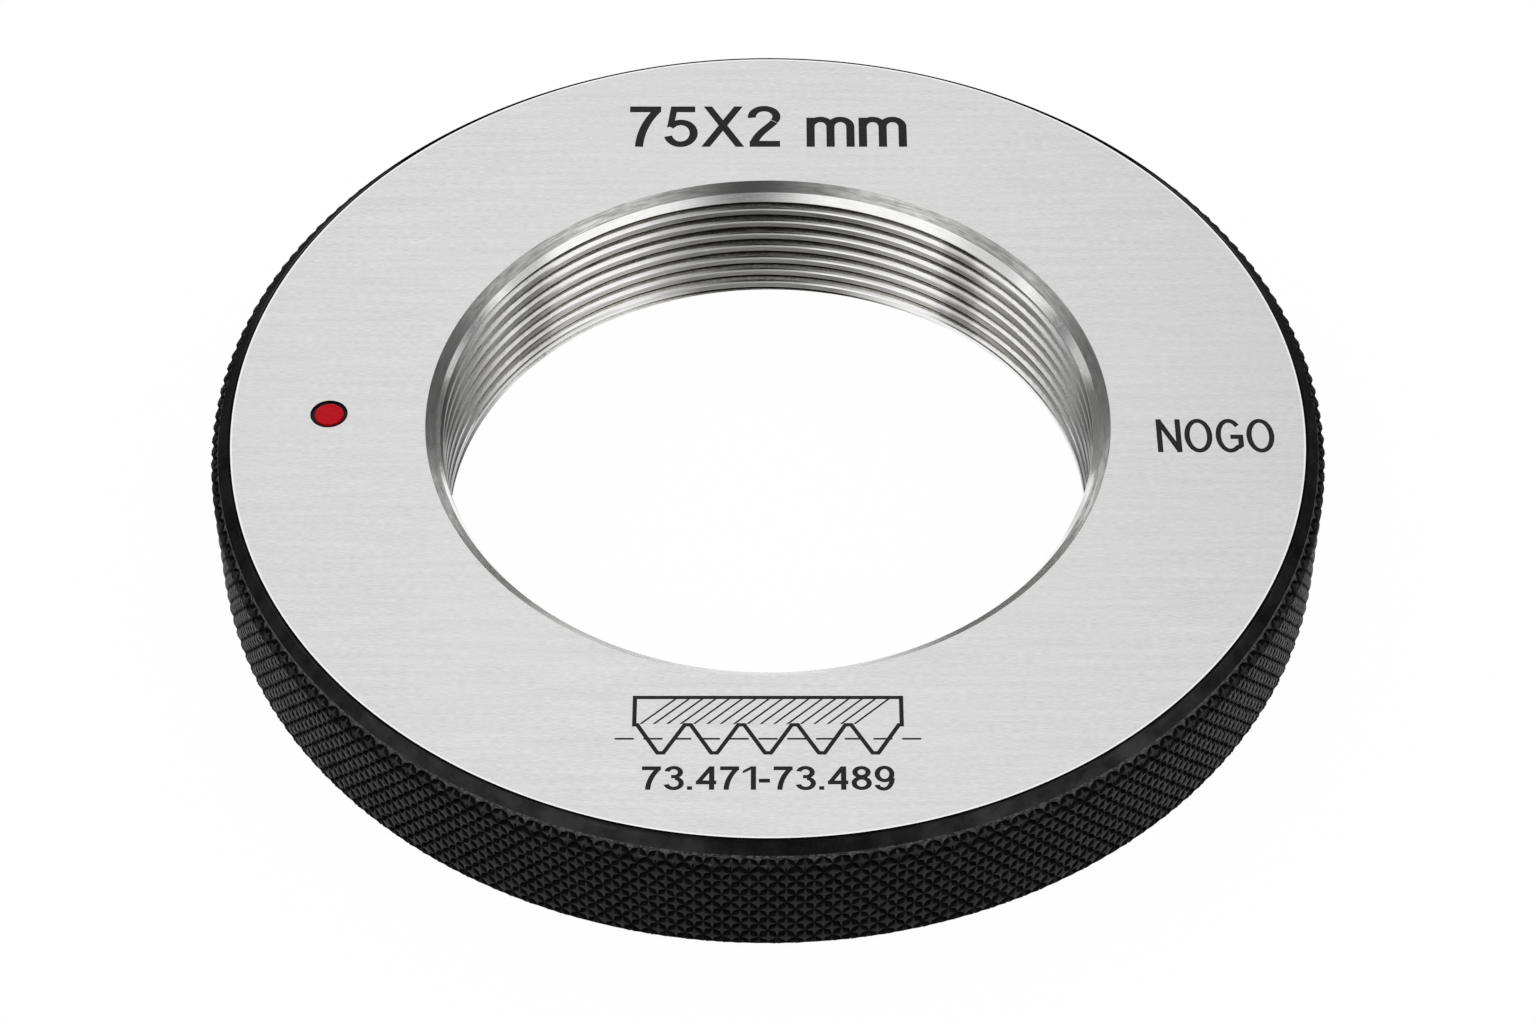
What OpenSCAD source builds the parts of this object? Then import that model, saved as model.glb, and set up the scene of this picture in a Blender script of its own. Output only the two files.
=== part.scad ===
// Solid thread ring gauge, the no-go ring for an external metric thread of 75 mm and 2 mm pitch.
// It is one turned, hardened and ground steel ring that lies flat on its lower face.
// The origin is the middle of the lower face, +Z runs along the thread's axis out of the marked
// face, and sizes are in millimetres.

/* [Ring] */
// Outside diameter over the knurl's crests
outer_d = 125; // [100:0.5:160]
// Thickness between the two ground faces
thickness = 17; // [12:0.5:32]
// Radial width of the chamfer round each rim
rim_bevel_w = 2.4; // [0.5:0.1:4]
// Depth of the chamfer round each rim
rim_bevel_h = 2.2; // [0.5:0.1:4]

/* [Thread] */
// Nominal diameter of the screw thread that the gauge checks
nominal_d = 75; // [60:0.5:85]
// Axial distance from one turn to the next
pitch = 2; // [1.5:0.25:3]
// Angle between each flank and a plane across the axis
flank_angle = 30; // [25:1:35]
// How far the gauge's pitch diameter lies below the basic pitch diameter
class_allowance = 0.22; // [0.1:0.01:0.4]
// How far the crests' bore lies below the gauge's pitch diameter
crest_drop = 0.4; // [0.2:0.05:0.8]
// Width of the relief slot at the bottom of the groove
relief_w = 0.5; // [0.3:0.05:0.6]
// How far the relief slot goes past the nominal diameter
relief_clearance = 0.2; // [0:0.05:0.5]

/* [Mouths of the bore] */
// Radial width of the wide bevel next to the marked face
lead_bevel_w = 1.15; // [0.3:0.05:2]
// Depth of the wide bevel
lead_bevel_h = 0.85; // [0.3:0.05:2]
// Radial width of the steeper bevel that trims the first turn
turn_bevel_w = 0.7; // [0.3:0.05:2]
// Depth of the steeper bevel
turn_bevel_h = 0.95; // [0.3:0.05:2]
// Radial width of the bevel at the lower mouth
exit_bevel_w = 1.1; // [0.5:0.1:2]
// Depth of the bevel at the lower mouth
exit_bevel_h = 0.5; // [0.3:0.05:2]

/* [Colour dot] */
// Diameter of the flat-bottomed pocket
pocket_d = 4.2; // [2:0.1:6]
// Depth of the pocket
pocket_depth = 0.3; // [0.1:0.05:1]
// Width of the bare moat between the pocket's wall and the enamel
moat_w = 0.48; // [0.1:0.02:0.8]

/* [Hidden] */

// The basic pitch diameter lies three quarters of a sharp 60 degree thread's height inside the nominal
basic_drop = 0.75 * pitch * cos(30);
pitch_r = (nominal_d - basic_drop - class_allowance) / 2;
crest_r = pitch_r - crest_drop / 2;
root_r = (nominal_d + relief_clearance) / 2;

// Half the groove's width at a radius: the flanks narrow outwards until they meet the relief slot
function half_groove(r) = pitch / 4 - (r - pitch_r) * tan(flank_angle);
slot_r = pitch_r + (pitch / 4 - relief_w / 2) / tan(flank_angle);

// The cutting form starts in the open bore, where it is 0.9 of the pitch wide, so its turns stay apart
mouth_half = 0.45 * pitch;
mouth_r = pitch_r - (mouth_half - pitch / 4) / tan(flank_angle);
groove_form = [
    [mouth_r, -mouth_half],
    [slot_r, -relief_w / 2],
    [root_r, -relief_w / 2],
    [root_r, relief_w / 2],
    [slot_r, relief_w / 2],
    [mouth_r, mouth_half]
];

// The helix starts below the lower face, under the dot, and ends above the upper face
steps_per_turn = 48;
start_angle = 180;
helix_bottom = -mouth_half;
helix_steps = ceil((thickness + 2 * mouth_half) / pitch * steps_per_turn);

bore_top_r = crest_r + turn_bevel_w;
mouth_edge_r = bore_top_r + lead_bevel_w;
face_edge_r = outer_d / 2 - rim_bevel_w;
// The dot is midway across the marked face
dot_offset = (mouth_edge_r + face_edge_r) / 2;

turned_fn = 180;
dot_fn = 48;

// The turned section, beside the axis
module ring_section() {
    polygon([
        [crest_r + exit_bevel_w, 0],
        [face_edge_r, 0],
        [outer_d / 2, rim_bevel_h],
        [outer_d / 2, thickness - rim_bevel_h],
        [face_edge_r, thickness],
        [mouth_edge_r, thickness],
        [bore_top_r, thickness - lead_bevel_h],
        [crest_r, thickness - lead_bevel_h - turn_bevel_h],
        [crest_r, exit_bevel_h]
    ]);
}

// The groove's form swept along a right-hand helix and closed by its two end faces
module thread_groove() {
    sides = len(groove_form);
    points = [
        for (i = [0 : helix_steps], p = groove_form)
            let (turn = i / steps_per_turn, angle = start_angle + 360 * turn)
            [p[0] * cos(angle), p[0] * sin(angle), helix_bottom + pitch * turn + p[1]]
    ];
    walls = [
        for (i = [0 : helix_steps - 1], j = [0 : sides - 1])
            let (a = i * sides + j, b = i * sides + (j + 1) % sides)
            each [[a, b, b + sides], [a, b + sides, a + sides]]
    ];
    start_face = [for (j = [0 : sides - 1]) sides - 1 - j];
    end_face = [for (j = [0 : sides - 1]) helix_steps * sides + j];
    polyhedron(points, concat(walls, [start_face, end_face]), convexity = 10);
}

// Stands a disc of the given diameter on the floor of the dot's pocket
module pocket_disc(d, h) {
    translate([-dot_offset, 0, thickness - pocket_depth])
        cylinder(d = d, h = h, $fn = dot_fn);
}

module gauge_ring() {
    color([0.80, 0.80, 0.81])
        difference() {
            rotate_extrude($fn = turned_fn) ring_section();
            thread_groove();
            pocket_disc(pocket_d, 2 * pocket_depth);
        }
}

// Hard enamel inside the pocket, level with the marked face
module red_dot() {
    color([0.72, 0.05, 0.10])
        pocket_disc(pocket_d - 2 * moat_w, pocket_depth);
}

gauge_ring();
red_dot();
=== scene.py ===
"""Thread ring gauge: a knurled steel no-go ring with an internal metric thread, lying on a pale floor."""

import math

import bmesh
import bpy
import numpy as np
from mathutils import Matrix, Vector
from mathutils.geometry import delaunay_2d_cdt


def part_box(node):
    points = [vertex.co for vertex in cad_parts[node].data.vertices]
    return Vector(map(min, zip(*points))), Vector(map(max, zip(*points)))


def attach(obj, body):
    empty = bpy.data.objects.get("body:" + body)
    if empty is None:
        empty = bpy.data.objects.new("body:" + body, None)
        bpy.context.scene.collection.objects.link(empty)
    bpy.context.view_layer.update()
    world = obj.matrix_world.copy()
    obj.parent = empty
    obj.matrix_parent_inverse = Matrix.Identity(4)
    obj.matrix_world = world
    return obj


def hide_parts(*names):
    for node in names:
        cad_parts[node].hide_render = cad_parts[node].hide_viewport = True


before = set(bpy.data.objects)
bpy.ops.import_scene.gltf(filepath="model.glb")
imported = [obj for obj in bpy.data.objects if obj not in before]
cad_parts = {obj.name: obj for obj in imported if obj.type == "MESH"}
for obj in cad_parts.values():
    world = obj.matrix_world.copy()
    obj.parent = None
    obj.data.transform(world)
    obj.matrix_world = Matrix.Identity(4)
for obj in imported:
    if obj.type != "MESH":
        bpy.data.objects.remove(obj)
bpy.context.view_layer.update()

# Sizes are in millimetres up to the meshes, which are in metres
MM = 0.001
ring_low, ring_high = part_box("gauge_ring")
dot_low, dot_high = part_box("red_dot")
OUTER_R = (ring_high.x - ring_low.x) / 2 / MM
THICK = ring_high.z / MM
DOT_X = (dot_low.x + dot_high.x) / 2 / MM
DOT_R = (dot_high.x - dot_low.x) / 2 / MM

RIM_BEVEL_W = 2.4
RIM_BEVEL_H = 2.2
# The smooth part of the chamfer, and the small lip beside each face
SMOOTH_W = 1.45
LIP_W = 0.46
LIP_H = 0.2

PITCH = 2.0
PITCH_R = 36.74
CREST_R = 36.54
ROOT_R = 37.6
RELIEF_W = 0.5
FLANK = math.radians(30)

LEAD_BEVEL_W = 1.15
LEAD_BEVEL_H = 0.85
TURN_BEVEL_W = 0.7
TURN_BEVEL_H = 0.95
EXIT_BEVEL_W = 1.1
EXIT_BEVEL_H = 0.5
CREST_BREAK = 0.11

# Where the flanks meet the relief slot, the height where the bore's upper bevels end, and the face's edge
SLOT_R = PITCH_R + (PITCH / 4 - RELIEF_W / 2) / math.tan(FLANK)
BEVELS_Z = THICK - LEAD_BEVEL_H - TURN_BEVEL_H
FACE_EDGE = OUTER_R - RIM_BEVEL_W

POCKET_R = 2.1
POCKET_DEPTH = 0.3
MARK_DEPTH = 0.05

# Stars round the ring, rows of them, and the height from one row to the next
KNURLS = 204
KNURL_ROWS = 10
KNURL_STEP = 1.19
KNURL_DEPTH = 1.0
# How deep the knurl's points lie, as shares of its depth, and half a waist's size, as a share of its cell
TIP_DEPTHS = (0.1, 0.17)
PIT_DEPTHS = (0.45, 0.6)
WAIST_DEPTHS = (0.01, 0.05)
WAIST_SIZES = (0.075, 0.12)
# How far a star's middle strays sideways and up, as shares of its cell
SIDE_SHIFTS = (-0.05, 0.05)
UP_SHIFTS = (-0.1, 0.1)

TURN_STEPS = 360
HELIX_STEPS = 240
DOT_STEPS = 64
WELD_GAP = 0.00001
# Edges sharper than this, in degrees, aren't shaded smooth
RING_SHARP = 8
DOT_SHARP = 50

# The camera was fitted to the photograph's ellipses: its place in metres, its tilt in degrees and its lens
CAMERA_Y = -0.31494
CAMERA_LIFT = 0.32747
CAMERA_TILT = 47.505
CAMERA_LENS = 94.9

TAU = 2 * math.pi
rng = np.random.default_rng(75)


def smoothstep(low, high, value):
    share = min(max((value - low) / (high - low), 0), 1)
    return share * share * (3 - 2 * share)


# Meshes

def mesh_object(name, verts, faces):
    mesh = bpy.data.meshes.new(name)
    mesh.from_pydata((np.asarray(verts, float) * MM).tolist(), [], faces)
    mesh.update()
    ob = bpy.data.objects.new(name, mesh)
    bpy.context.scene.collection.objects.link(ob)
    return ob


def combine(ob, cutter, operation):
    """Replaces ob's mesh by its exact difference from cutter or intersection with it, and removes cutter."""
    mod = ob.modifiers.new("cut", "BOOLEAN")
    mod.solver = "MANIFOLD"
    mod.operation = operation
    mod.object = cutter
    graph = bpy.context.evaluated_depsgraph_get()
    old = ob.data
    ob.data = bpy.data.meshes.new_from_object(ob.evaluated_get(graph), depsgraph=graph)
    ob.modifiers.clear()
    bpy.data.meshes.remove(old)
    bpy.data.meshes.remove(cutter.data)


def weld(ob):
    """Joins the points that the cuts left in one place, so no face without area stays."""
    mesh = bmesh.new()
    mesh.from_mesh(ob.data)
    bmesh.ops.remove_doubles(mesh, verts=mesh.verts, dist=WELD_GAP * MM)
    mesh.to_mesh(ob.data)
    mesh.free()


def revolved(name, section, steps):
    """A closed section of (radius, height) points, in anticlockwise order, turned about Z."""
    section = np.array(section, float)
    count = len(section)
    angles = np.arange(steps) * TAU / steps
    verts = [(r * math.cos(a), r * math.sin(a), z) for a in angles for r, z in section]
    faces = []
    for i in range(steps):
        here, there = i * count, (i + 1) % steps * count
        for j in range(count):
            k = (j + 1) % count
            faces.append((here + j, there + j, there + k, here + k))
    return mesh_object(name, verts, faces)


def swept_helix(name, section, pitch, start, turns, steps, run_out, lift_off):
    """A section of (radius, height) points up a right-hand helix from the dot's side, with closed ends.

    Over the last 'run_out' turns the section is drawn towards the axis by lift_off.
    """
    section = np.array(section, float)
    count = len(section)
    total = math.ceil(turns * steps)
    verts = []
    for i in range(total + 1):
        angle = i / steps * TAU + math.pi
        lift = start + pitch * i / steps
        inward = lift_off * smoothstep(turns - run_out, turns, i / steps)
        for r, z in section:
            verts.append(((r - inward) * math.cos(angle), (r - inward) * math.sin(angle), z + lift))
    faces = []
    for i in range(total):
        for j in range(count):
            a, b = i * count + j, i * count + (j + 1) % count
            faces.append((a, a + count, b + count, b))
    faces.append(tuple(range(count)))
    faces.append(tuple(total * count + j for j in reversed(range(count))))
    return mesh_object(name, verts, faces)


def knurl_levels():
    """Heights of the rows of stars, from below the ring to above it: close together on the chamfers."""
    levels = [THICK / 2 + (i - (KNURL_ROWS - 1) / 2) * KNURL_STEP for i in range(KNURL_ROWS)]
    for gap in (KNURL_STEP * 0.95, 0.55, 0.5, 0.8, 1.5):
        levels = [levels[0] - gap, *levels, levels[-1] + gap]
    return levels


def knurled_disc(name):
    """A solid disc whose wall is a diamond knurl: stars whose tips meet, with a pit beside each edge.

    The knurl follows the chamfers for a little way, and beyond that the wall stands clear of the ring. By the
    lower chamfer it is nearly smooth.
    """
    cell_w = TAU / KNURLS
    levels = knurl_levels()
    verts, faces = [], []
    end_z = THICK - SMOOTH_W * RIM_BEVEL_H / RIM_BEVEL_W
    clear = 1
    foot_z, foot_share = RIM_BEVEL_H + 0.25, 0.04

    def point(depth, angle, z):
        inset = max(0, max(z, THICK - z) - THICK + RIM_BEVEL_H) * RIM_BEVEL_W / RIM_BEVEL_H
        if z > end_z or z < THICK - end_z:
            inset -= clear
        elif z < foot_z:
            depth *= foot_share
        r = OUTER_R - inset - KNURL_DEPTH * depth
        verts.append((r * math.cos(angle), r * math.sin(angle), z))
        return len(verts) - 1

    # The tips of four stars meet at each corner, and the pits are deepest halfway between two corners
    corners = [[point(rng.uniform(*TIP_DEPTHS), cell_w * (k + row % 2 / 2), z) for k in range(KNURLS)]
               for row, z in enumerate(levels)]
    pits = {}

    def pit(a, b):
        key = (min(a, b), max(a, b))
        if key not in pits:
            mid = (np.array(verts[a]) + np.array(verts[b])) / 2
            pits[key] = point(rng.uniform(*PIT_DEPTHS), math.atan2(mid[1], mid[0]), mid[2])
        return pits[key]

    for row in range(1, len(levels) - 1):
        odd = row % 2
        reach = {-1: levels[row] - levels[row - 1], 1: levels[row + 1] - levels[row]}
        for k in range(KNURLS):
            n = (k + 1) % KNURLS
            tips = [corners[row][k], corners[row - 1][(k + odd) % KNURLS], corners[row][n],
                    corners[row + 1][(k + odd) % KNURLS]]
            angle = cell_w * (k + odd / 2 + 0.5 + rng.uniform(*SIDE_SHIFTS))
            z = levels[row] + rng.uniform(*UP_SHIFTS) * min(reach.values())
            middle = point(0, angle, z)
            for j, (across, up) in enumerate(((-1, -1), (1, -1), (1, 1), (-1, 1))):
                after = tips[(j + 1) % 4]
                size = rng.uniform(*WAIST_SIZES)
                waist = point(rng.uniform(*WAIST_DEPTHS), angle + across * size * cell_w,
                              z + up * size * 2 * reach[up])
                low_point = pit(tips[j], after)
                faces += [(middle, tips[j], waist), (middle, waist, after)]
                faces += [(tips[j], low_point, waist), (low_point, after, waist)]
    for row, step in ((0, 1), (len(levels) - 1, -1)):
        ring, beside, odd = corners[row], corners[row + step], row % 2
        for k in range(KNURLS):
            n = (k + 1) % KNURLS
            third = beside[(k + odd) % KNURLS]
            left, right = pit(ring[k], third), pit(third, ring[n])
            fan = (ring[k], ring[n], right, third, left)
            faces.append(fan if row == 0 else fan[::-1])
        faces.append(tuple(reversed(ring)) if row == 0 else tuple(ring))
    return mesh_object(name, verts, faces)


def prism(name, groups, low, high):
    """One solid for each group of flat polygons, which is their union from low to high.

    A group is (polygons, scales, place).
    """
    verts, faces = [], []
    for polygons, scales, place in groups:
        points, rings = [], []
        for polygon in polygons:
            across, along = np.array(polygon).T
            if (np.roll(across, 1) * along - across * np.roll(along, 1)).sum() < 0:
                polygon = polygon[::-1]
            rings.append(list(range(len(points), len(points) + len(polygon))))
            points += [Vector(p) for p in polygon]
        flat, _, cells, _, _, sources = delaunay_2d_cdt(points, [], rings, 1, 1e-5)
        cells = [tuple(c) for c, source in zip(cells, sources) if source]
        first, count = len(verts), len(flat)
        for z in (low, high):
            verts += [(place[0] + p.x * scales[0], place[1] + p.y * scales[1], z) for p in flat]
        sides = {(c[i - 1], c[i]) for c in cells for i in range(len(c))}
        solid = [c[::-1] for c in cells] + [tuple(i + count for i in c) for c in cells]
        solid += [(a, b, b + count, a + count) for a, b in sorted(sides) if (b, a) not in sides]
        faces += [tuple(i + first for i in f) for f in solid]
    return mesh_object(name, verts, faces)


# Ring

def ring_blank():
    """The turned ring, oversize where the knurl will be. Its chamfers end in a small lip beside each face."""
    bore_top = CREST_R + TURN_BEVEL_W
    mouth = bore_top + LEAD_BEVEL_W
    slope = RIM_BEVEL_H / RIM_BEVEL_W
    lift = LIP_W * slope - LIP_H
    # The step from the smooth part to the torn one, and how far the blank stands out past the knurl
    step, over = 0.05, 1.5
    rim = [
        (FACE_EDGE, 0),
        (FACE_EDGE + LIP_W, LIP_H),
        (FACE_EDGE + SMOOTH_W, SMOOTH_W * slope - lift),
        (FACE_EDGE + SMOOTH_W + step, (SMOOTH_W + step) * slope),
        (OUTER_R + over, RIM_BEVEL_H + over * slope),
    ]
    section = [
        (CREST_R + EXIT_BEVEL_W, 0),
        *rim,
        *((r, THICK - z) for r, z in reversed(rim)),
        (mouth, THICK),
        (bore_top, THICK - LEAD_BEVEL_H),
        (CREST_R, BEVELS_Z),
        (CREST_R, EXIT_BEVEL_H),
    ]
    return revolved("gauge_body", section, TURN_STEPS)


def thread_cutter():
    """The groove's form up the helix: relief slot, straight flanks and a small break at the crests' edges.

    It starts in the open bore, where it is nearly as wide as the pitch, and runs out below the upper bevels.
    """
    mouth_half = 0.45 * PITCH
    run_out = 0.62
    clear = 0.2

    def half_groove(r):
        return PITCH / 4 - (r - PITCH_R) * math.tan(FLANK)

    flank_end = CREST_R + CREST_BREAK
    lip = half_groove(flank_end)
    upper = [
        (ROOT_R, RELIEF_W / 2),
        (SLOT_R, RELIEF_W / 2),
        (flank_end, lip),
        (CREST_R, lip + CREST_BREAK * 1.55),
        (CREST_R - 0.3, mouth_half),
    ]
    section = [(r, -half) for r, half in reversed(upper)] + upper
    turns = (THICK - LEAD_BEVEL_H + mouth_half) / PITCH
    return swept_helix("thread_cutter", section, PITCH, -mouth_half, turns, HELIX_STEPS, run_out,
                       ROOT_R - CREST_R + clear)


def pocket_cutter():
    """A shallow flat-bottomed pocket for the colour dot."""
    angles = [i * TAU / DOT_STEPS for i in range(DOT_STEPS)]
    disc = [(DOT_X + POCKET_R * math.cos(a), POCKET_R * math.sin(a)) for a in angles]
    return prism("pocket_cutter", [([disc], (1, 1), (0, 0))], THICK - POCKET_DEPTH, THICK + 1)


def ellipse_points(cx, cy, a, b, degrees):
    angles = np.radians(degrees)
    return np.column_stack([cx + a * np.cos(angles), cy + b * np.sin(angles)])


# Marks: strokes in units of the capitals' height, with the baseline at 0

def bar(x0, x1, y0, y1):
    return [[(x0, y0), (x1, y0), (x1, y1), (x0, y1)]]


def band(cx, cy, a, b, start, end, weight):
    """A stroke along part of an ellipse, in pieces of at most a third of a turn that share their ends."""
    pieces = math.ceil(abs(end - start) / 120)
    cuts = np.linspace(start, end, pieces + 1)
    if abs(end - start) == 360:
        cuts[-1] = cuts[0]
    polygons = []
    for first, last in zip(cuts, cuts[1:]):
        sweep = np.linspace(first, last + (360 if last < first and end > start else 0), 14)
        sweep[-1] = last
        outer = ellipse_points(cx, cy, a + weight / 2, b + weight / 2, sweep)
        inner = ellipse_points(cx, cy, a - weight / 2, b - weight / 2, sweep[::-1])
        polygons.append([tuple(p) for p in np.vstack([outer, inner])])
    return polygons


def curve(points, weight):
    """A stroke along a Bezier curve of the given control points."""
    points = np.array(points, float)
    t = np.linspace(0, 1, 16)[:, None]
    degree = len(points) - 1
    line = sum(math.comb(degree, i) * t ** i * (1 - t) ** (degree - i) * p for i, p in enumerate(points))
    along = np.gradient(line, axis=0)
    along /= np.linalg.norm(along, axis=1)[:, None]
    side = np.column_stack([-along[:, 1], along[:, 0]]) * weight / 2
    return [[tuple(p) for p in np.vstack([line + side, (line - side)[::-1]])]]


def turned_over(polygons, width):
    """The same strokes turned by half a turn about the middle of a sign of the given width."""
    return [[(width - x, 1 - y) for x, y in polygon] for polygon in polygons]


def glyph(sign, w, h):
    """A sign's width and strokes. w is the weight of upright strokes and h of level ones."""
    bowl = band(0.2645, 0.3265, 0.2, 0.281, 0, 360, w)
    six = [*bowl, *band(0.285, 0.5, 0.225, 0.465, 180, 90, w), *band(0.285, 0.77, 0.185, 0.195, 90, 5, w)]
    signs = {
        "1": (0.34, [*bar(0.22, 0.22 + w, 0, 1), [(0, 0.7), (0.2, 0.84), (0.26, 1), (0.22, 1), (0, 0.81)]]),
        "2": (0.526, [*band(0.26, 0.745, 0.205, 0.2, 188, -35, w), *bar(0.02, 0.526, 0, h),
                      *curve([(0.428, 0.621), (0.36, 0.5), (0.13, 0.33), (0.085, 0.06)], w)]),
        "3": (0.52, [*band(0.25, 0.748, 0.185, 0.196, 170, -75, w),
                     *band(0.255, 0.277, 0.206, 0.222, 80, -168, w),
                     *bar(0.18, 0.32, 0.49, 0.49 + h * 0.85)]),
        "4": (0.56, [*bar(0.36, 0.36 + w, 0, 1), *bar(0, 0.56, 0.23, 0.23 + h),
                     [(0.36, 1), (0.0, 0.34), (0.0, 0.25), (0.13, 0.3), (0.4, 0.8), (0.45, 1)]]),
        "5": (0.54, [*bar(0.095, 0.501, 1 - h, 1), [(0.095, 1), (0.035, 0.47), (0.15, 0.53), (0.2, 0.9)],
                     *band(0.265, 0.332, 0.216, 0.27, 145, -165, w)]),
        "7": (0.522, [*bar(0, 0.522, 1 - h, 1), *curve([(0.168, 0), (0.19, 0.52), (0.47, 0.92)], w)]),
        "8": (0.529, [*band(0.2645, 0.75, 0.18, 0.192, 0, 360, w),
                      *band(0.2645, 0.283, 0.205, 0.222, 0, 360, w)]),
        "9": (0.529, turned_over(six, 0.529)),
        ".": (0.14, [*bar(0, 0.14, 0, 0.15)]),
        "-": (0.306, [*bar(0, 0.306, 0.305, 0.305 + h)]),
        "X": (0.715, [[(0.03, 1), (0.571, 0), (0.715, 0), (0.172, 1)],
                      [(0.543, 1), (0, 0), (0.144, 0), (0.687, 1)]]),
        "m": (0.8, [*bar(0, w, 0, 0.72), *bar(0.4 - w / 2, 0.4 + w / 2, 0, 0.5), *bar(0.8 - w, 0.8, 0, 0.5),
                    *band(0.2 + w / 4, 0.495, 0.2 - w / 4, 0.18, 0, 180, w),
                    *band(0.6 - w / 4, 0.495, 0.2 - w / 4, 0.18, 0, 180, w)]),
        "N": (0.55, [*bar(0, w, 0, 1), *bar(0.55 - w, 0.55, 0, 1),
                     [(0, 1), (0, 0.93), (0.55 - w * 0.85, 0), (0.55, 0), (0.55, 0.07), (w * 0.85, 1)]]),
        "O": (0.63, [*band(0.315, 0.5, 0.315 - w / 2, 0.452, 0, 360, w)]),
        "G": (0.62, [*band(0.31, 0.5, 0.31 - w / 2, 0.452, 40, 305, w), *bar(0.33, 0.62, 0.4, 0.4 + h),
                     [(0.488, 0.08), (0.56, 0.125), (0.62, 0.18), (0.62, 0.45),
                      (0.62 - w, 0.45), (0.62 - w, 0.24), (0.418, 0.18)]]),
        " ": (0.3, []),
    }
    return signs[sign]


def lettering(text, centre, baseline, cap, gap, w, h, stretch=1.0):
    """Groups for a line of signs that is centred on x = centre, with capitals 'cap' millimetres high."""
    wide = cap * stretch
    signs = [glyph(sign, w, h) for sign in text]
    pen = centre - (sum(width for width, _ in signs) + gap * (len(signs) - 1)) * wide / 2
    groups = []
    for width, strokes in signs:
        if strokes:
            groups.append((strokes, (wide, cap), (pen, baseline)))
        pen += (width + gap) * wide
    return groups


def outline(points, weight):
    """A closed line of the given weight round the points, in pieces that share mitred ends."""
    points = np.array(points, float)
    along = np.roll(points, -1, axis=0) - points
    along /= np.linalg.norm(along, axis=1)[:, None]
    side = np.column_stack([-along[:, 1], along[:, 0]])
    before = np.roll(side, 1, axis=0)
    mitre = (side + before) / (1 + (side * before).sum(axis=1))[:, None] * weight / 2
    left, right = points + mitre, points - mitre
    return [[tuple(q) for q in (left[i - 1], right[i - 1], right[i], left[i])] for i in range(len(points))]


def thread_pictogram(low, high, width):
    """The section of a threaded wall: a hatched comb of 60 degree teeth over its dashed pitch line."""
    teeth, flat, weight = 5, 0.62, 0.46
    run = (width / teeth - 2 * flat) / 2
    deep = run / math.tan(FLANK)
    left = -width / 2
    points = [(left, high), (left, low + deep)]
    for i in range(teeth):
        start = left + i * width / teeth
        points += [(start + flat / 2, low + deep), (start + flat / 2 + run, low)]
        points += [(start + flat * 1.5 + run, low), (start + flat * 1.5 + 2 * run, low + deep)]
    points += [(-left, low + deep), (-left, high)]
    strokes = outline(points, weight)
    top, foot, slant = high - weight / 4, low + deep + weight / 4, high - low - deep
    strokes += [[(x, foot), (x + 0.3, foot), (x + 0.3 + slant, top), (x + slant, top)]
                for x in np.arange(left + 0.5, -left - slant, 1.4)]
    axis = low + deep / 2
    strokes += [p for x in np.arange(-16, 16, 3) for p in bar(x, x + 2, axis - 0.12, axis + 0.12)]
    return [(strokes, (1, 1), (0, 0))]


def marks():
    """The thread's size, the function word and the limits of the pitch diameter, with a pictogram."""
    groups = lettering("75X2 mm", centre=0, baseline=44.3, cap=7.2, gap=0.07, w=0.137, h=0.145)
    groups += lettering("NOGO", centre=49.95, baseline=-5.9, cap=5.07,
                        gap=0.075, w=0.122, h=0.13, stretch=0.975)
    groups += lettering("73.471-73.489", centre=0, baseline=-53.8, cap=3.1,
                        gap=0.1, w=0.145, h=0.165, stretch=1.22)
    groups += thread_pictogram(low=-48.9, high=-41.4, width=28)
    return prism("mark_cutter", groups, THICK - MARK_DEPTH, THICK + 0.5)


def enamel_dot():
    """The dot's enamel, drawn up at its edge and a little hollow in the middle, as it sets."""
    steps = DOT_STEPS
    radius = [DOT_R, DOT_R, DOT_R - 0.06, DOT_R - 0.2, DOT_R * 0.6, DOT_R * 0.3]
    height = [-POCKET_DEPTH, -0.07, -0.015, -0.01, -0.03, -0.04]
    verts = [(DOT_X + r * math.cos(i * TAU / steps), r * math.sin(i * TAU / steps), THICK + z)
             for r, z in zip(radius, height) for i in range(steps)]
    faces = [tuple(reversed(range(steps)))]
    for level in range(len(radius) - 1):
        here, above = level * steps, (level + 1) * steps
        for i in range(steps):
            j = (i + 1) % steps
            faces.append((here + i, here + j, above + j, above + i))
    verts.append((DOT_X, 0, THICK - 0.042))
    last = (len(radius) - 1) * steps
    faces += [(last + i, last + (i + 1) % steps, len(verts) - 1) for i in range(steps)]
    return mesh_object("dot_enamel", verts, faces)


# Finishes

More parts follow.
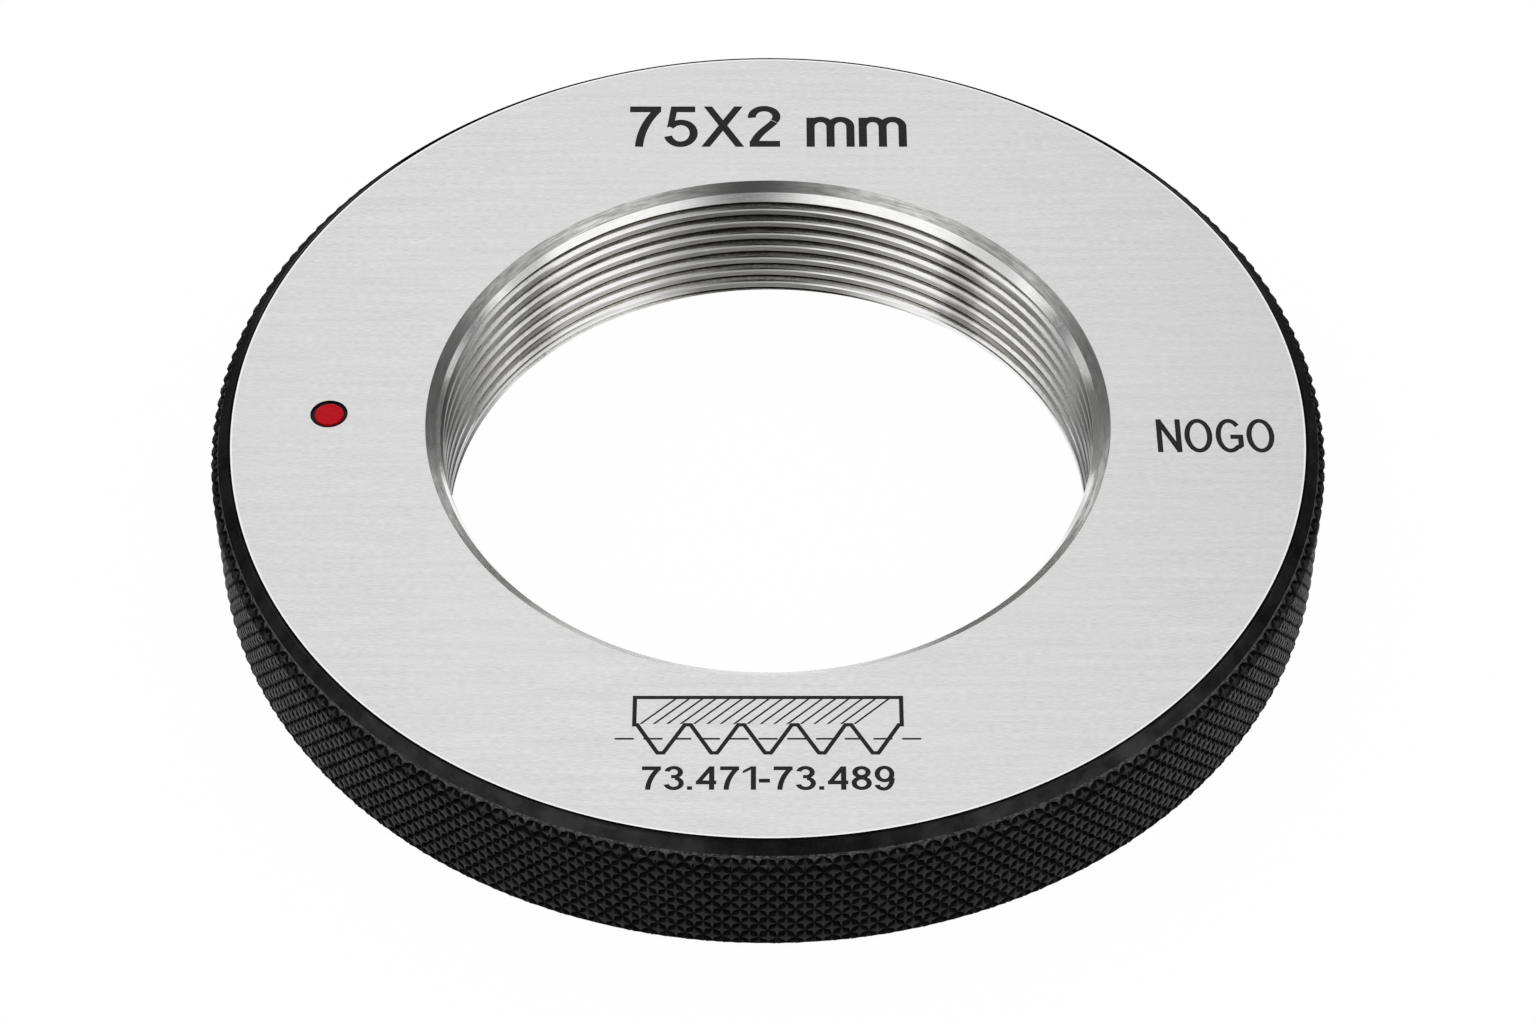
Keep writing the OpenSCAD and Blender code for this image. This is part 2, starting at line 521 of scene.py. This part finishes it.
class Finish:
    """A material's node tree with short ways to add to it. Places are in millimetres."""

    def __init__(self, name):
        self.material = bpy.data.materials.new(name)
        self.material.use_nodes = True
        self.tree = self.material.node_tree
        self.shader = self.tree.nodes["Principled BSDF"]
        scaled = self.node("ShaderNodeVectorMath", operation="SCALE")
        self.feed(scaled.inputs[0], self.node("ShaderNodeTexCoord").outputs["Object"])
        scaled.inputs["Scale"].default_value = 1 / MM
        self.place = scaled.outputs[0]
        split = self.node("ShaderNodeSeparateXYZ")
        self.feed(split.inputs[0], self.place)
        self.x, self.y, self.z = split.outputs
        square = self.math("MULTIPLY_ADD", self.x, self.x, self.math("MULTIPLY", self.y, self.y))
        self.radius = self.math("SQRT", square)

    def node(self, kind, **properties):
        made = self.tree.nodes.new(kind)
        for name, value in properties.items():
            setattr(made, name, value)
        return made

    def feed(self, socket, value):
        if isinstance(value, bpy.types.NodeSocket):
            self.tree.links.new(value, socket)
        else:
            socket.default_value = value

    def math(self, operation, *values):
        made = self.node("ShaderNodeMath", operation=operation)
        for socket, value in zip(made.inputs, values):
            self.feed(socket, value)
        return made.outputs[0]

    def join(self, x, y, z):
        made = self.node("ShaderNodeCombineXYZ")
        for socket, value in zip(made.inputs, (x, y, z)):
            self.feed(socket, value)
        return made.outputs[0]

    def noise(self, vector, detail=2.0, roughness=0.5, scale=1.0):
        made = self.node("ShaderNodeTexNoise")
        self.feed(made.inputs["Vector"], vector)
        made.inputs["Scale"].default_value = scale
        made.inputs["Detail"].default_value = detail
        made.inputs["Roughness"].default_value = roughness
        return made.outputs[0]

    def ramp(self, value, low, high, to_low, to_high, smooth=False):
        """Value from low to high goes to to_low to to_high, and stays there beyond."""
        made = self.node("ShaderNodeMapRange", clamp=True)
        if smooth:
            made.interpolation_type = "SMOOTHSTEP"
        for socket, v in zip(made.inputs, (value, low, high, to_low, to_high)):
            self.feed(socket, v)
        return made.outputs[0]

    def spread(self, noise, to_low, to_high, half=0.15):
        """A noise's usual values, which lie within 'half' of its middle, go to to_low to to_high."""
        return self.ramp(noise, 0.5 - half, 0.5 + half, to_low, to_high)

    def mix(self, factor, a, b):
        """Between two colours."""
        made = self.node("ShaderNodeMix", data_type="RGBA")
        self.feed(made.inputs[0], factor)
        for socket, colour in zip((made.inputs[6], made.inputs[7]), (a, b)):
            self.feed(socket, (*colour, 1) if isinstance(colour, tuple) else colour)
        return made.outputs[2]

    def bump(self, height, millimetres, under=None):
        """Height from 0 to 1 raises the surface by up to the given millimetres."""
        made = self.node("ShaderNodeBump")
        made.inputs["Strength"].default_value = 1
        made.inputs["Distance"].default_value = millimetres * MM
        self.feed(made.inputs["Height"], height)
        if under is not None:
            self.feed(made.inputs["Normal"], under)
        return made.outputs[0]

    def ring_lines(self, around, across):
        """A place whose noise runs in lines round the ring: 'around' is how fast it changes along a line."""
        bearing_x = self.math("DIVIDE", self.x, self.radius)
        bearing_y = self.math("DIVIDE", self.y, self.radius)
        level = self.math("MULTIPLY_ADD", self.radius, 0.83, self.z)
        return self.join(self.math("MULTIPLY", bearing_x, around),
                         self.math("MULTIPLY", bearing_y, around),
                         self.math("MULTIPLY", level, across))

    def clean(self):
        """Painted shade: 1 where the thread keeps its full colour, and less in its middle and at its sides,
        which reflect dark surroundings, and in the two darker bands.
        """
        side = self.math("ABSOLUTE", self.x)
        beside_middle = self.ramp(side, 5, 19, 0.38, 1, smooth=True)
        before_sides = self.ramp(side, 27, 36, 1, 0.34)
        return self.math("MULTIPLY", self.math("MULTIPLY", beside_middle, before_sides), self.darker_bands())

    def darker_bands(self):
        """1 where the thread isn't darkened: two darker bands cross it, left and right of its middle."""
        wander = self.math("MULTIPLY_ADD", self.noise(self.place, 2, 0.5, 0.5), 4, -2)
        place = self.math("ADD", self.x, wander)
        bands = []
        for middle, half_width, strength in ((22.8, 3.6, 0.48), (-27.5, 3, 0.6)):
            away = self.math("ABSOLUTE", self.math("SUBTRACT", place, middle))
            bands.append(self.ramp(away, 0.3, half_width, strength, 1, smooth=True))
        return self.math("MULTIPLY", *bands)

    def last_turn_highlight(self):
        """1 on the last turn beside the middle, by the lower mouth, which a painted highlight makes bright.
        """
        side = self.math("ABSOLUTE", self.x)
        return self.math("MULTIPLY", self.ramp(self.z, 1.5, 2.4, 1, 0), self.ramp(side, 8, 17, 0, 1))

    def dim(self, colour, factor):
        """The colour times a number from 0 to 1 or so."""
        made = self.node("ShaderNodeMix", data_type="RGBA", blend_type="MULTIPLY")
        made.inputs[0].default_value = 1
        self.feed(made.inputs[6], colour)
        self.feed(made.inputs[7], self.join(factor, factor, factor))
        return made.outputs[2]

    def done(self, colour, roughness, normal, metallic=0, specular=0.5):
        """Feeds the shader and gives the material."""
        self.shader.inputs["Metallic"].default_value = metallic
        for name, value in (("Base Color", colour), ("Roughness", roughness), ("Normal", normal),
                            ("Specular IOR Level", specular)):
            self.feed(self.shader.inputs[name], value)
        return self.material


def ground_steel():
    """Surface-ground steel: short fine scratches along X, a faint cloudiness, painted light that makes the
    face a little lighter at its front left than at its back right, and a painted highlight, a bright line at
    its rim.
    """
    f = Finish("ground_steel")
    fine = f.noise(f.join(f.math("MULTIPLY", f.x, 1.1), f.math("MULTIPLY", f.y, 6.8), f.z), 2, 0.65)
    broad = f.noise(f.join(f.math("MULTIPLY", f.x, 0.08), f.math("MULTIPLY", f.y, 1.3), f.z), 3, 0.5)
    cloud = f.noise(f.place, 3, 0.5, 0.045)
    lines = f.math("MULTIPLY_ADD", broad, 0.3, f.math("MULTIPLY", fine, 0.7))
    tone = f.mix(f.spread(lines, 0, 1, half=0.14), (0.65, 0.646, 0.646), (0.793, 0.789, 0.789))
    tone = f.mix(f.spread(cloud, 0, 0.3), tone, (0.74, 0.73, 0.726))
    # Painted light: the face a little lighter at its front left and darker at its back right
    away = f.math("ADD", f.y, f.math("MULTIPLY", f.x, 0.7))
    tone = f.dim(tone, f.ramp(away, -50, 70, 1.02, 0.975))
    # Painted highlight: a bright line just inside the face's rim
    tone = f.mix(f.ramp(f.radius, FACE_EDGE - 0.24, FACE_EDGE - 0.14, 0, 1), tone, (0.98, 0.98, 0.98))
    return f.done(tone, f.spread(lines, 0.34, 0.28), f.bump(lines, 0.0006), metallic=1)


def turned_steel():
    """The wide bevel at the bore's mouth, with lathe lines round it and a painted highlight that makes it
    bright at its front.
    """
    f = Finish("turned_steel")
    fine = f.noise(f.ring_lines(9, 4), 3, 0.65)
    broad = f.noise(f.ring_lines(22, 2.2), 2, 0.5)
    lines = f.math("MULTIPLY_ADD", broad, 0.4, f.math("MULTIPLY", fine, 0.6))
    tone = f.mix(f.spread(lines, 0, 1, half=0.12), (0.38, 0.377, 0.37), (0.74, 0.737, 0.73))
    # Painted highlight: the bevel made bright at its front
    tone = f.mix(f.ramp(f.y, -34, -27, 1, 0), tone, (0.97, 0.97, 0.965))
    return f.done(tone, f.spread(lines, 0.26, 0.18), f.bump(fine, 0.004), metallic=1)


def lapped_steel():
    """The thread's polished flanks, with painted shade that darkens them towards the relief slot, where torn
    burrs show too, and the steep bevel above them.
    """
    f = Finish("lapped_steel")
    fine = f.noise(f.ring_lines(12, 4.5), 3, 0.6)
    patches = f.noise(f.ring_lines(60, 1.6), 3, 0.55)
    burrs = f.noise(f.ring_lines(120, 4), 3, 0.6)
    below = f.ramp(f.z, BEVELS_Z - 0.1, BEVELS_Z, 1, 0)
    # Painted shade: the flanks darker towards the relief slot, with torn burrs in that part
    uneven = f.math("MULTIPLY_ADD", patches, 0.5, f.radius)
    deep = f.math("MULTIPLY", below, f.ramp(uneven, CREST_R + 0.6, CREST_R + 0.92, 0, 1))
    polish = f.mix(f.spread(fine, 0, 1), (0.87, 0.865, 0.855), (0.98, 0.98, 0.98))
    shadow = f.math("MULTIPLY", below, f.ramp(f.math("ABSOLUTE", f.x), 35.2, 36.6, 0, 0.62))
    polish = f.mix(shadow, polish, (0.03, 0.03, 0.03))
    # Two darker bands cross the flanks, left and right of the middle
    banded = f.math("MULTIPLY", below, f.ramp(f.darker_bands(), 0.45, 1, 0.5, 0))
    polish = f.mix(banded, polish, (0.12, 0.115, 0.105))
    torn = f.mix(f.ramp(burrs, 0.5, 0.58, 0, 1), (0.6, 0.57, 0.515), (0.86, 0.84, 0.8))
    # Painted shade: dimmer in the bore's middle and at its sides
    tone = f.mix(deep, polish, f.dim(torn, f.clean()))
    return f.done(tone, f.spread(patches, 0.07, 0.16), f.bump(fine, 0.003), metallic=1)


def bored_steel():
    """The thread's crests, left grey and dull by the boring tool, with painted light that makes them brighter
    beside the middle.
    """
    f = Finish("bored_steel")
    fine = f.noise(f.ring_lines(14, 8), 3, 0.6)
    side = f.math("ABSOLUTE", f.x)
    # Painted light, not wear: the crests brighter beside the middle, where they reflect brighter surroundings
    rubbed = f.math("MULTIPLY", f.ramp(side, 9, 17, 0, 0.8), f.ramp(side, 24, 30, 1, 0))
    tone = f.mix(f.spread(fine, 0, 1), (0.16, 0.157, 0.152), (0.27, 0.266, 0.26))
    # The two darker bands cross the crests too
    tone = f.dim(f.mix(rubbed, tone, (0.55, 0.54, 0.52)), f.darker_bands())
    # Painted highlight: the last turn by the lower mouth made bright
    tone = f.mix(f.last_turn_highlight(), tone, (0.95, 0.95, 0.95))
    return f.done(tone, f.spread(fine, 0.3, 0.4), f.bump(fine, 0.004), metallic=1)


def shaded_steel():
    """The relief slots and the flanks that face down: painted shade makes them darker than the others,
    darkest in the slots; they are duller too, with a few pale torn burrs.
    """
    f = Finish("shaded_steel")
    fine = f.noise(f.ring_lines(14, 8), 3, 0.6)
    burrs = f.noise(f.ring_lines(110, 5), 3, 0.6)
    # Painted shade: the relief slots darker than the flanks
    slot = f.ramp(f.radius, PITCH_R + 0.3, ROOT_R - 0.35, 0, 1)
    flank = f.mix(f.spread(fine, 0, 1), (0.72, 0.71, 0.68), (0.9, 0.885, 0.85))
    torn = f.mix(f.ramp(burrs, 0.56, 0.62, 0, 1), flank, (0.92, 0.88, 0.79))
    # Painted shade: dimmer in the bore's middle and at its sides
    tone = f.dim(f.mix(slot, torn, (0.5, 0.485, 0.46)), f.clean())
    # Painted highlight: the last turn by the lower mouth made bright
    tone = f.mix(f.last_turn_highlight(), tone, (0.95, 0.95, 0.95))
    return f.done(tone, f.spread(fine, 0.25, 0.38), f.bump(fine, 0.004), metallic=1)


def black_chamfer():
    """Smooth blackened steel with fine lathe lines round it; painted shade takes its reflection away where it
    meets the ground face, so it is quite black there, and towards the back.
    """
    f = Finish("black_chamfer")
    fine = f.noise(f.ring_lines(20, 6), 3, 0.6)
    specks = f.noise(f.place, 3, 0.6, 2.4)
    # Painted shade: no reflection in a narrow band by the ground face's edge, a black line there
    away = f.ramp(f.radius, FACE_EDGE + 0.18, FACE_EDGE + 0.28, 0, 1)
    tone = f.mix(f.spread(fine, 0, 1), (0.0015, 0.0015, 0.002), (0.005, 0.005, 0.005))
    # Painted shade: the lathe lines' sheen fades out towards the back
    sheen = f.math("MULTIPLY", f.spread(fine, 0.18, 0.42), f.ramp(f.y, 28, 42, 1, 0))
    return f.done(tone, f.spread(specks, 0.2, 0.28, half=0.2), f.bump(fine, 0.006),
                  specular=f.math("MULTIPLY", away, sheen))


def black_knurl():
    """Blackened steel, dull in the knurl's pits, a little rubbed on its stars and paler by the chamfer."""
    f = Finish("black_knurl")
    specks = f.noise(f.place, 3, 0.6, 2.4)
    burrs = f.noise(f.place, 3, 0.65, 2.4)
    level = f.math("ABSOLUTE", f.math("SUBTRACT", f.z, THICK / 2))
    past = f.math("MAXIMUM", f.math("SUBTRACT", level, THICK / 2 - RIM_BEVEL_H), 0)
    inset = f.math("MULTIPLY", past, RIM_BEVEL_W / RIM_BEVEL_H)
    depth = f.math("SUBTRACT", OUTER_R, f.math("ADD", f.radius, inset))
    face = f.ramp(depth, KNURL_DEPTH * 0.045, KNURL_DEPTH * 0.14, 1, 0)
    edge = THICK / 2 - SMOOTH_W * RIM_BEVEL_H / RIM_BEVEL_W
    torn = f.math("MULTIPLY", f.ramp(level, edge - 0.5, edge - 0.1, 0, 1), f.ramp(burrs, 0.44, 0.58, 0.05, 1))
    worn = f.math("MULTIPLY", face, f.spread(specks, 0.4, 1, half=0.2))
    tone = f.mix(worn, (0.0025, 0.0025, 0.0027), (0.0145, 0.0145, 0.015))
    tone = f.mix(f.math("MULTIPLY", torn, face), tone, (0.08, 0.08, 0.08))
    return f.done(tone, f.spread(specks, 0.4, 0.5, half=0.2), f.bump(specks, 0.01),
                  specular=f.math("MULTIPLY_ADD", face, 0.26, 0.05))


def torn_chamfer():
    """The chamfer's outer part, which the knurl's rolls have torn up: rough, uneven and rubbed paler."""
    f = Finish("torn_chamfer")
    burrs = f.noise(f.place, 4, 0.65, 1.6)
    specks = f.noise(f.place, 2, 0.6, 5)
    edge = OUTER_R - RIM_BEVEL_W * 0.44
    pale = f.math("MULTIPLY", f.ramp(burrs, 0.42, 0.62, 0, 1), f.ramp(f.radius, edge, edge + 0.5, 1, 0.35))
    tone = f.mix(pale, (0.012, 0.012, 0.012), (0.11, 0.11, 0.11))
    return f.done(tone, f.spread(specks, 0.4, 0.6, half=0.2), f.bump(burrs, 0.12, f.bump(specks, 0.03)),
                  specular=0.35)


def laser_mark():
    """Annealed marks in the ground face."""
    f = Finish("laser_mark")
    grain = f.noise(f.place, 3, 0.6, 5)
    tone = f.mix(f.spread(grain, 0, 1, half=0.2), (0.01, 0.01, 0.01), (0.028, 0.0275, 0.027))
    return f.done(tone, f.spread(grain, 0.6, 0.8, half=0.2), f.bump(grain, 0.01), specular=0.12)


def pocket_black():
    """The moat round the dot."""
    f = Finish("pocket_black")
    grain = f.noise(f.place, 3, 0.6, 4)
    tone = f.mix(grain, (0.002, 0.002, 0.002), (0.008, 0.008, 0.008))
    return f.done(tone, 0.55, f.bump(grain, 0.01), specular=0.25)


def red_enamel():
    """The dot's hard enamel, slightly dull."""
    f = Finish("red_enamel")
    grain = f.noise(f.place, 3, 0.6, 2.5)
    tone = f.mix(f.spread(grain, 0, 1, half=0.2), (0.4, 0.0015, 0.008), (0.49, 0.0025, 0.011))
    return f.done(tone, f.spread(grain, 0.3, 0.45, half=0.2), f.bump(grain, 0.01), specular=0.07)


def finish_ring(ob):
    """Gives each of the ring's faces its finish by where it lies and which way it points."""
    mesh = ob.data
    mesh.materials.clear()
    finishes = (ground_steel, turned_steel, lapped_steel, bored_steel, shaded_steel,
                black_chamfer, torn_chamfer, black_knurl, laser_mark, pocket_black)
    for finish in finishes:
        mesh.materials.append(finish())
    count = len(mesh.polygons)
    centre, normal = np.empty(count * 3, np.float32), np.empty(count * 3, np.float32)
    mesh.polygons.foreach_get("center", centre)
    mesh.polygons.foreach_get("normal", normal)
    x, y, z = centre.reshape(-1, 3).T / MM
    up = normal.reshape(-1, 3)[:, 2]
    radius = np.hypot(x, y)
    bore = radius < CREST_R + TURN_BEVEL_W + LEAD_BEVEL_W
    recess = ~bore & (radius < FACE_EDGE) & (z > THICK - 2 * POCKET_DEPTH) & (z < THICK - 0.001)
    below_bevels = bore & (z < BEVELS_Z) & (z > EXIT_BEVEL_H)
    lead_up = LEAD_BEVEL_W / math.hypot(LEAD_BEVEL_W, LEAD_BEVEL_H)
    lead_bevel = bore & (np.abs(up - lead_up) < 0.02) & (z > THICK - LEAD_BEVEL_H)

    # How far a place lies above the chamfer's cone
    cone = np.minimum(z, THICK - z) - (radius - FACE_EDGE) * RIM_BEVEL_H / RIM_BEVEL_W
    chamfer_up = RIM_BEVEL_W / math.hypot(RIM_BEVEL_W, RIM_BEVEL_H)
    outside = radius > FACE_EDGE
    on_cone = (np.abs(cone) < 0.05) & (np.abs(np.abs(up) - chamfer_up) < 0.01)
    smooth = (cone < 0.01) & (np.abs(up) > 0.5) & (radius < FACE_EDGE + SMOOTH_W)

    # Later rows go over earlier ones
    slots = np.full(count, finishes.index(ground_steel), np.int32)
    for where, finish in (
        (bore, lapped_steel),
        (below_bevels & (np.abs(up) < 0.1), bored_steel),
        (bore & ((radius > SLOT_R) | (below_bevels & (up < -0.1))), shaded_steel),
        (lead_bevel, turned_steel),
        (outside, black_knurl),
        (outside & on_cone, torn_chamfer),
        (outside & smooth, black_chamfer),
        (recess, laser_mark),
        (recess & (np.hypot(x - DOT_X, y) < POCKET_R + 0.05), pocket_black),
    ):
        slots[where] = finishes.index(finish)
    mesh.polygons.foreach_set("material_index", slots)
    mesh.polygons.foreach_set("use_smooth", [True] * count)
    mesh.set_sharp_from_angle(angle=math.radians(RING_SHARP))


# The object

ring = ring_blank()
combine(ring, knurled_disc("knurl"), "INTERSECT")
combine(ring, thread_cutter(), "DIFFERENCE")
combine(ring, pocket_cutter(), "DIFFERENCE")
combine(ring, marks(), "DIFFERENCE")
weld(ring)
finish_ring(ring)
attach(ring, "root")
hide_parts("gauge_ring")

dot = enamel_dot()
dot.data.materials.append(red_enamel())
dot.data.polygons.foreach_set("use_smooth", [True] * len(dot.data.polygons))
dot.data.set_sharp_from_angle(angle=math.radians(DOT_SHARP))
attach(dot, "root")
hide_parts("red_dot")


# Floor, light and camera

# How much of the floor that the camera sees is plain white
FLOOR_WHITE = 0.98
# The flat cards' height above the floor, and where the bore's cards have their middle
CARD_LIFT = 0.3
BORE_CARD_X = 4
# Name, azimuth, elevation, half the width, half the height, the soft edge's width, and how much it hides
FLAGS = (
    ("flag_front", 172, 61, 28, 48, 27.0, 0.98),
    ("flag_low", 168, 16, 30, 15, 11.0, 0.6),
    ("flag_back_left", -51, 25, 31, 33, 24.0, 0.8),
    ("flag_back_right", 49, 25, 34, 33, 24.0, 0.86),
    ("flag_left", -93, 47, 13, 13, 8.0, 0.5),
    ("flag_left_low", -106, 19, 16, 9, 8.0, 0.35),
    ("flag_right", 87, 45, 8, 15, 7.0, 0.5),
    ("flag_right_low", 98, 16, 11, 9, 7.0, 0.45),
)


def sees_background(tree):
    """1 for the rays that show the background: the camera's, mirrored and transmitted ones."""
    path = tree.nodes.new("ShaderNodeLightPath")
    total = path.outputs["Is Camera Ray"]
    for name in ("Is Glossy Ray", "Is Transmission Ray"):
        add = tree.nodes.new("ShaderNodeMath")
        add.operation = "ADD"
        add.use_clamp = True
        tree.links.new(total, add.inputs[0])
        tree.links.new(path.outputs[name], add.inputs[1])
        total = add.outputs[0]
    return total


def mixed_material(name, under, over):
    """A material that mixes two shaders. Gives it, its tree, the mix's factor and the two shaders."""
    material = bpy.data.materials.new(name)
    material.use_nodes = True
    tree = material.node_tree
    tree.nodes.clear()
    mix = tree.nodes.new("ShaderNodeMixShader")
    shaders = [tree.nodes.new(kind) for kind in (under, over)]
    for shader, socket in zip(shaders, mix.inputs[1:]):
        tree.links.new(shader.outputs[0], socket)
    output = tree.nodes.new("ShaderNodeOutputMaterial")
    tree.links.new(mix.outputs[0], output.inputs["Surface"])
    return material, tree, mix.inputs[0], *shaders


def floor():
    """A pale floor, mostly lit to white for the camera, which keeps a faint shadow."""
    size, gap = 4000, 0.02
    corners = [(-size, -size, -gap), (size, -size, -gap), (size, size, -gap), (-size, size, -gap)]
    ob = mesh_object("floor", corners, [(0, 1, 2, 3)])
    material, tree, factor, diffuse, _ = mixed_material(
        "floor_white", "ShaderNodeBsdfDiffuse", "ShaderNodeEmission")
    diffuse.inputs["Color"].default_value = (0.9, 0.9, 0.9, 1)
    share = tree.nodes.new("ShaderNodeMath")
    share.operation = "MULTIPLY"
    share.inputs[1].default_value = FLOOR_WHITE
    tree.links.new(sees_background(tree), share.inputs[0])
    tree.links.new(share.outputs[0], factor)
    ob.data.materials.append(material)


def card_material():
    """Black where the attribute "darkness" is 1, and clear where it is 0."""
    material, tree, factor, _, black = mixed_material(
        "black_card", "ShaderNodeBsdfTransparent", "ShaderNodeBsdfDiffuse")
    black.inputs["Color"].default_value = (0.004, 0.004, 0.004, 1)
    darkness = tree.nodes.new("ShaderNodeAttribute")
    darkness.attribute_name = "darkness"
    tree.links.new(darkness.outputs["Fac"], factor)
    return material


def card(name, place, darkness, columns, rows):
    """A black card that only reflections see.

    For u and v from -1 to 1, place(u, v) is a point on it in millimetres and darkness(u, v) says how much it
    hides there.
    """
    grid = [(2 * i / columns - 1, 2 * j / rows - 1) for j in range(rows + 1) for i in range(columns + 1)]
    wide = columns + 1
    corners = [j * wide + i for j in range(rows) for i in range(columns)]
    faces = [(a, a + 1, a + wide + 1, a + wide) for a in corners]
    ob = mesh_object(name, [place(u, v) for u, v in grid], faces)
    layer = ob.data.attributes.new("darkness", "FLOAT", "POINT")
    layer.data.foreach_set("value", [darkness(u, v) for u, v in grid])
    ob.data.materials.append(bpy.data.materials.get("black_card") or card_material())
    ob.visible_camera = False
    ob.visible_diffuse = False
    ob.visible_shadow = False
    ob.visible_transmission = False


def flag(name, azimuth, elevation, half_width, half_height, soft, depth):
    """A card a metre from the ring, which hides 'depth' of the light.

    Its size is in degrees as the ring sees it, and its edges fade out over 'soft' degrees. Azimuth 0 is
    behind the ring, and 90 on its right.
    """
    az, el = math.radians(azimuth), math.radians(elevation)
    middle = Vector((math.sin(az) * math.cos(el), math.cos(az) * math.cos(el), math.sin(el)))
    side = Vector((math.cos(az), -math.sin(az), 0))
    over = side.cross(middle)

    def place(u, v):
        a, b = math.radians(u * half_width), math.radians(v * half_height)
        level = middle * math.cos(a) + side * math.sin(a)
        return (level * math.cos(b) + over * math.sin(b)) / MM

    def darkness(u, v):
        across = smoothstep(0, soft, (1 - abs(u)) * half_width)
        return depth * across * smoothstep(0, soft, (1 - abs(v)) * half_height)

    card(name, place, darkness, 32, 24)


def skirt(inner, outer, front, side, back):
    """A card on the floor round the ring, from one radius to the other.

    The last three values say how much it hides in front, beside and behind.
    """
    def place(u, v):
        r = inner + (outer - inner) * ((v + 1) / 2) ** 2
        bearing = math.pi * u - math.pi / 2
        return r * math.cos(bearing), r * math.sin(bearing), CARD_LIFT

    def darkness(u, v):
        turn = abs(u) * 180
        depth = front + (side - front) * smoothstep(0, 80, turn) + (back - side) * smoothstep(80, 120, turn)
        return depth * smoothstep(0, 1, 1 - v)

    card("skirt", place, darkness, 96, 16)


def bore_card():
    """A card on the floor inside the bore, dark behind its middle and beside the left and right walls."""
    outer = 35

    def place(u, v):
        bearing = math.pi * u
        r = outer * (v + 1) / 2
        return r * math.cos(bearing), r * math.sin(bearing), CARD_LIFT

    def darkness(u, v):
        x, y, _ = place(u, v)
        middle = smoothstep(27, 14, y) * smoothstep(11, 12.5, y) * smoothstep(22, 8, abs(x - BORE_CARD_X))
        return max(middle, 0.9 * smoothstep(28, 34, abs(x)))

    card("bore_card", place, darkness, 96, 48)


def bore_screen():
    """A low card that stands across the bore: the thread's back sees black, the front bevel the floor."""
    y, half_width, half_height = 12, 22, 4.6

    def place(u, v):
        return BORE_CARD_X + half_width * u, y, CARD_LIFT + half_height * (v + 1)

    def darkness(u, v):
        return smoothstep(1, 0.36, abs(u)) * smoothstep(1, 0.5, v)

    card("bore_screen", place, darkness, 32, 12)


def side_card(name, sign, depth):
    """A low curved card that stands beside the ring and dims at its top and ends."""
    r, half_height, half_turn = 110, 24, 40

    def place(u, v):
        turn = math.radians(90 + half_turn * u)
        return sign * r * math.sin(turn), -r * math.cos(turn), half_height * (v + 1)

    def darkness(u, v):
        return depth * smoothstep(0, 0.4, 1 - abs(u)) * smoothstep(0, 0.6, 1 - v)

    card(name, place, darkness, 32, 16)


def look():
    """An even white world, and the photograph's camera."""
    world = bpy.data.worlds.new("studio")
    bpy.context.scene.world = world
    world.use_nodes = True
    background = world.node_tree.nodes["Background"]
    background.inputs["Color"].default_value = (1, 1, 1, 1)
    background.inputs["Strength"].default_value = 1
    camera = bpy.data.objects.new("camera", bpy.data.cameras.new("camera"))
    bpy.context.scene.collection.objects.link(camera)
    camera.location = (0, CAMERA_Y, CAMERA_LIFT + THICK * MM)
    camera.rotation_euler = (math.radians(90 - CAMERA_TILT), 0, 0)
    camera.data.sensor_width = 36
    camera.data.lens = CAMERA_LENS
    bpy.context.scene.camera = camera
    bpy.context.scene.view_settings.view_transform = "Standard"


floor()
skirt(inner=60.6, outer=400, front=0.6, side=0.15, back=0.95)
bore_card()
bore_screen()
side_card("card_left", -1, 0.8)
side_card("card_right", 1, 0.8)
for row in FLAGS:
    flag(*row)
look()
